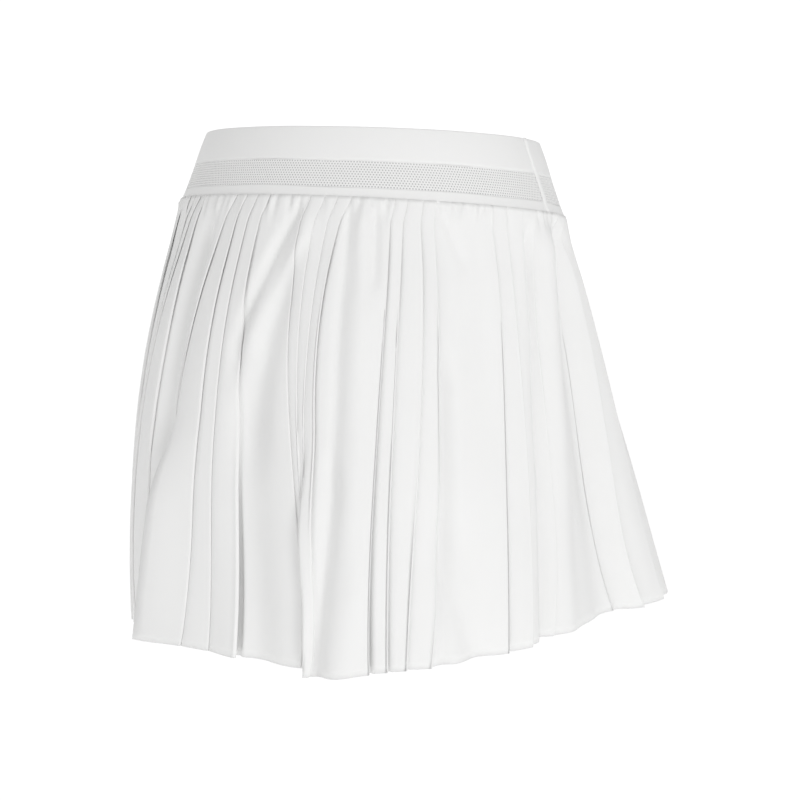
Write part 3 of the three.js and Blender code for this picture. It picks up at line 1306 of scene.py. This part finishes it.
    def build(self) -> list[bpy.types.Object]:
        """Builds the insert of each half as a plain mesh.

        Returns:
            The two inserts.
        """
        form = self.form
        top, bottom = form.mesh_top - self.tucked_share, form.strip_top + self.tucked_share
        mean_radius = (form.waist_half_width + form.waist_half_depth + form.band_flare * (top + bottom)) / 2.0
        cells = round(math.pi * mean_radius / self.pitch_along)
        pitch_down = (bottom - top) * form.band_depth / self.rows
        tree = self.tree(kept(self.finish.name, self.finish.material))
        made = []
        for half in Half:
            name = f"perforated_insert_{half.label}"
            source = bpy.data.objects.new(name + "_cell", self.cell_mesh(name + "_cell", pitch_down))
            bpy.context.scene.collection.objects.link(source)
            values = {
                "Cells Along": cells, "Rows": self.rows,
                "Pitch Along": self.pitch_along, "Pitch Down": pitch_down,
                "Start Angle": half.start_angle,
                "Top Share": top, "Bottom Share": bottom,
                "Half Width": form.waist_half_width - self.recess,
                "Half Depth": form.waist_half_depth - self.recess,
                "Flare": form.band_flare, "Band Depth": form.band_depth,
                "Waist Tilt": form.waist_tilt, "Seam Tilt": form.seam_tilt, "Weld": self.weld,
            }
            insert = realised(source, tree, values, name)
            add_band_map(insert, form)
            made.append(dress(insert, "band_mesh", f"mesh_insert_{half.label}"))
        return made


def realised(
    source: bpy.types.Object, tree: bpy.types.NodeTree, values: dict, name: str
) -> bpy.types.Object:
    """Runs a geometry tree on an object and keeps the result as a plain mesh.

    Args:
        source: the object that the tree starts from; it is removed.
        tree: the geometry tree.
        values: input name to value.
        name: the new object's name.

    Returns:
        The new object.
    """
    modifier = source.modifiers.new("pattern", "NODES")
    modifier.node_group = tree
    for item in tree.interface.items_tree:
        if item.item_type == "SOCKET" and item.in_out == "INPUT" and item.name in values:
            modifier[item.identifier] = values[item.name]
    bpy.context.view_layer.update()
    graph = bpy.context.evaluated_depsgraph_get()
    mesh = bpy.data.meshes.new_from_object(source.evaluated_get(graph), depsgraph=graph)
    mesh.name = name
    source.modifiers.remove(modifier)
    bpy.data.objects.remove(source)
    made = bpy.data.objects.new(name, mesh)
    bpy.context.scene.collection.objects.link(made)
    return made


def add_band_map(made: bpy.types.Object, form: WornForm) -> None:
    """Adds the cloth's UV map: metres along and down the band.

    Args:
        made: a piece that lies on the band.
        form: the worn form.
    """
    mesh = made.data
    points = np.empty(len(mesh.vertices) * 3, np.float32)
    mesh.vertices.foreach_get("co", points)
    points = points.reshape(-1, 3)
    along = np.arctan2(points[:, 1], points[:, 0]) * form.waist_half_width
    corners = np.empty(len(mesh.loops), np.int32)
    mesh.loops.foreach_get("vertex_index", corners)
    layer = mesh.uv_layers.get(CLOTH_MAP) or mesh.uv_layers.new(name=CLOTH_MAP)
    flat = np.stack([along, -points[:, 2]], -1)
    layer.data.foreach_set("uv", flat[corners].astype(np.float32).ravel())


# ---------------------------------------------------------------- the studio


@dataclass
class Studio:
    """White paper, a white surround, one soft light and the camera.

    The surround's brightness changes gently from the camera's left to its right and from front to
    back. A flag, a darker region on the right, shades the faces that turn that way, and the
    backdrop behind the skirt is full white. A cone gives the cosines where such a region starts
    and where it is whole.
    """

    distance: float = 1.2
    turned: float = math.radians(29.6)
    eye_level: float = -14.6 * MM
    aside: float = 19.4 * MM
    pitch: float = math.radians(8.27)
    lens: float = 74.4
    floor_level: float = -1.1
    floor_half: float = 12.0
    surround_level: float = 0.645
    surround_side: float = -0.03
    surround_front: float = 0.06
    flag_angle: float = math.radians(110.0)
    flag_cone: tuple[float, float] = (0.35, 0.85)
    flag_depth: float = 0.33
    backdrop: float = 1.1
    backdrop_cone: tuple[float, float] = (0.80, 0.93)
    sensor_width: float = 36.0
    aim_height: float = -0.15

    def directions(self) -> tuple[Vector, Vector]:
        """The studio's two level directions.

        Returns:
            Unit vectors from the skirt towards the camera's side, and to the camera's right.
        """
        towards = Vector((-math.sin(self.turned), math.cos(self.turned), 0.0))
        right = Vector((-math.cos(self.turned), -math.sin(self.turned), 0.0))
        return towards, right

    def camera(self) -> None:
        """Places the camera and makes it the scene's."""
        towards, right = self.directions()
        data = bpy.data.cameras.new("camera")
        data.lens = self.lens
        data.sensor_width = self.sensor_width
        holder = bpy.data.objects.new("camera", data)
        holder.location = towards * self.distance + right * self.aside + Vector((0.0, 0.0, self.eye_level))
        looking = -towards * math.cos(self.pitch) - Vector((0.0, 0.0, math.sin(self.pitch)))
        holder.rotation_mode = "QUATERNION"
        holder.rotation_quaternion = looking.to_track_quat("-Z", "Y")
        bpy.context.scene.collection.objects.link(holder)
        bpy.context.scene.camera = holder

    def light(self, name: str, aside: float, up: float, near: float, size: float, power: float) -> None:
        """Adds a square soft light that faces the skirt.

        Args:
            name: the light's name.
            aside: metres to the camera's right.
            up: metres above the waist.
            near: metres towards the camera.
            size: side of the light.
            power: watts.
        """
        towards, right = self.directions()
        data = bpy.data.lights.new(name, "AREA")
        data.shape, data.size, data.energy = "SQUARE", size, power
        holder = bpy.data.objects.new(name, data)
        holder.location = towards * near + right * aside + Vector((0.0, 0.0, up))
        aim = Vector((0.0, 0.0, self.aim_height)) - holder.location
        holder.rotation_mode = "QUATERNION"
        holder.rotation_quaternion = aim.to_track_quat("-Z", "Y")
        bpy.context.scene.collection.objects.link(holder)

    def surround(self) -> None:
        """Sets the white surround and the plain view transform."""
        scene = bpy.context.scene
        world = bpy.data.worlds.new("white_surround")
        world.use_nodes = True
        graph = NodeGraph(world.node_tree)
        towards, right = self.directions()
        facing = graph.node("ShaderNodeTexCoord").outputs["Object"]
        flag = towards * math.cos(self.flag_angle) + right * math.sin(self.flag_angle)
        aside, ahead, nearness = (
            graph.node("ShaderNodeVectorMath", {0: facing, 1: axis}, operation="DOT_PRODUCT").outputs["Value"]
            for axis in (right, -towards, flag)
        )
        soft = graph.math("ADD", graph.math("MULTIPLY", aside, self.surround_side), self.surround_level)
        soft = graph.math("SUBTRACT", soft, graph.math("MULTIPLY", ahead, self.surround_front))
        shaded = graph.node(
            "ShaderNodeMapRange",
            {0: nearness, 1: self.flag_cone[0], 2: self.flag_cone[1], 3: 0.0, 4: self.flag_depth},
            interpolation_type="SMOOTHSTEP",
        )
        soft = graph.math("SUBTRACT", soft, shaded.outputs[0])
        behind = graph.node(
            "ShaderNodeMapRange",
            {0: ahead, 1: self.backdrop_cone[0], 2: self.backdrop_cone[1], 3: soft, 4: self.backdrop},
            interpolation_type="SMOOTHSTEP",
        )
        white = (1.0, 1.0, 1.0, 1.0)
        sky = graph.node("ShaderNodeBackground", {"Color": white, "Strength": behind.outputs[0]})
        graph.node("ShaderNodeOutputWorld", {"Surface": sky.outputs[0]})
        scene.world = world
        scene.view_settings.view_transform = "Standard"
        scene.view_settings.look = "None"

    def build(self) -> None:
        """Builds the studio."""
        half = self.floor_half
        mesh = bpy.data.meshes.new("floor")
        corners = [(-half, -half), (half, -half), (half, half), (-half, half)]
        mesh.from_pydata([(x, y, self.floor_level) for x, y in corners], [], [(0, 1, 2, 3)])
        mesh.materials.append(FloorFinish().material())
        floor = bpy.data.objects.new("floor", mesh)
        bpy.context.scene.collection.objects.link(floor)
        self.surround()
        self.light("key", aside=1.20, up=0.60, near=1.72, size=0.9, power=12.3)
        self.camera()


def main() -> None:
    """Builds the studio and the skirt, piece by piece."""
    logging.basicConfig(level=logging.INFO, format="%(message)s")
    Studio().build()
    form = WornForm()
    for assembly in (Waistband(form), MeshInsert(form), PleatedSkirt(form)):
        for piece in assembly.build():
            LOG.info("%s: %d faces", piece.name, len(piece.data.polygons))


if __name__ == "__main__":
    main()
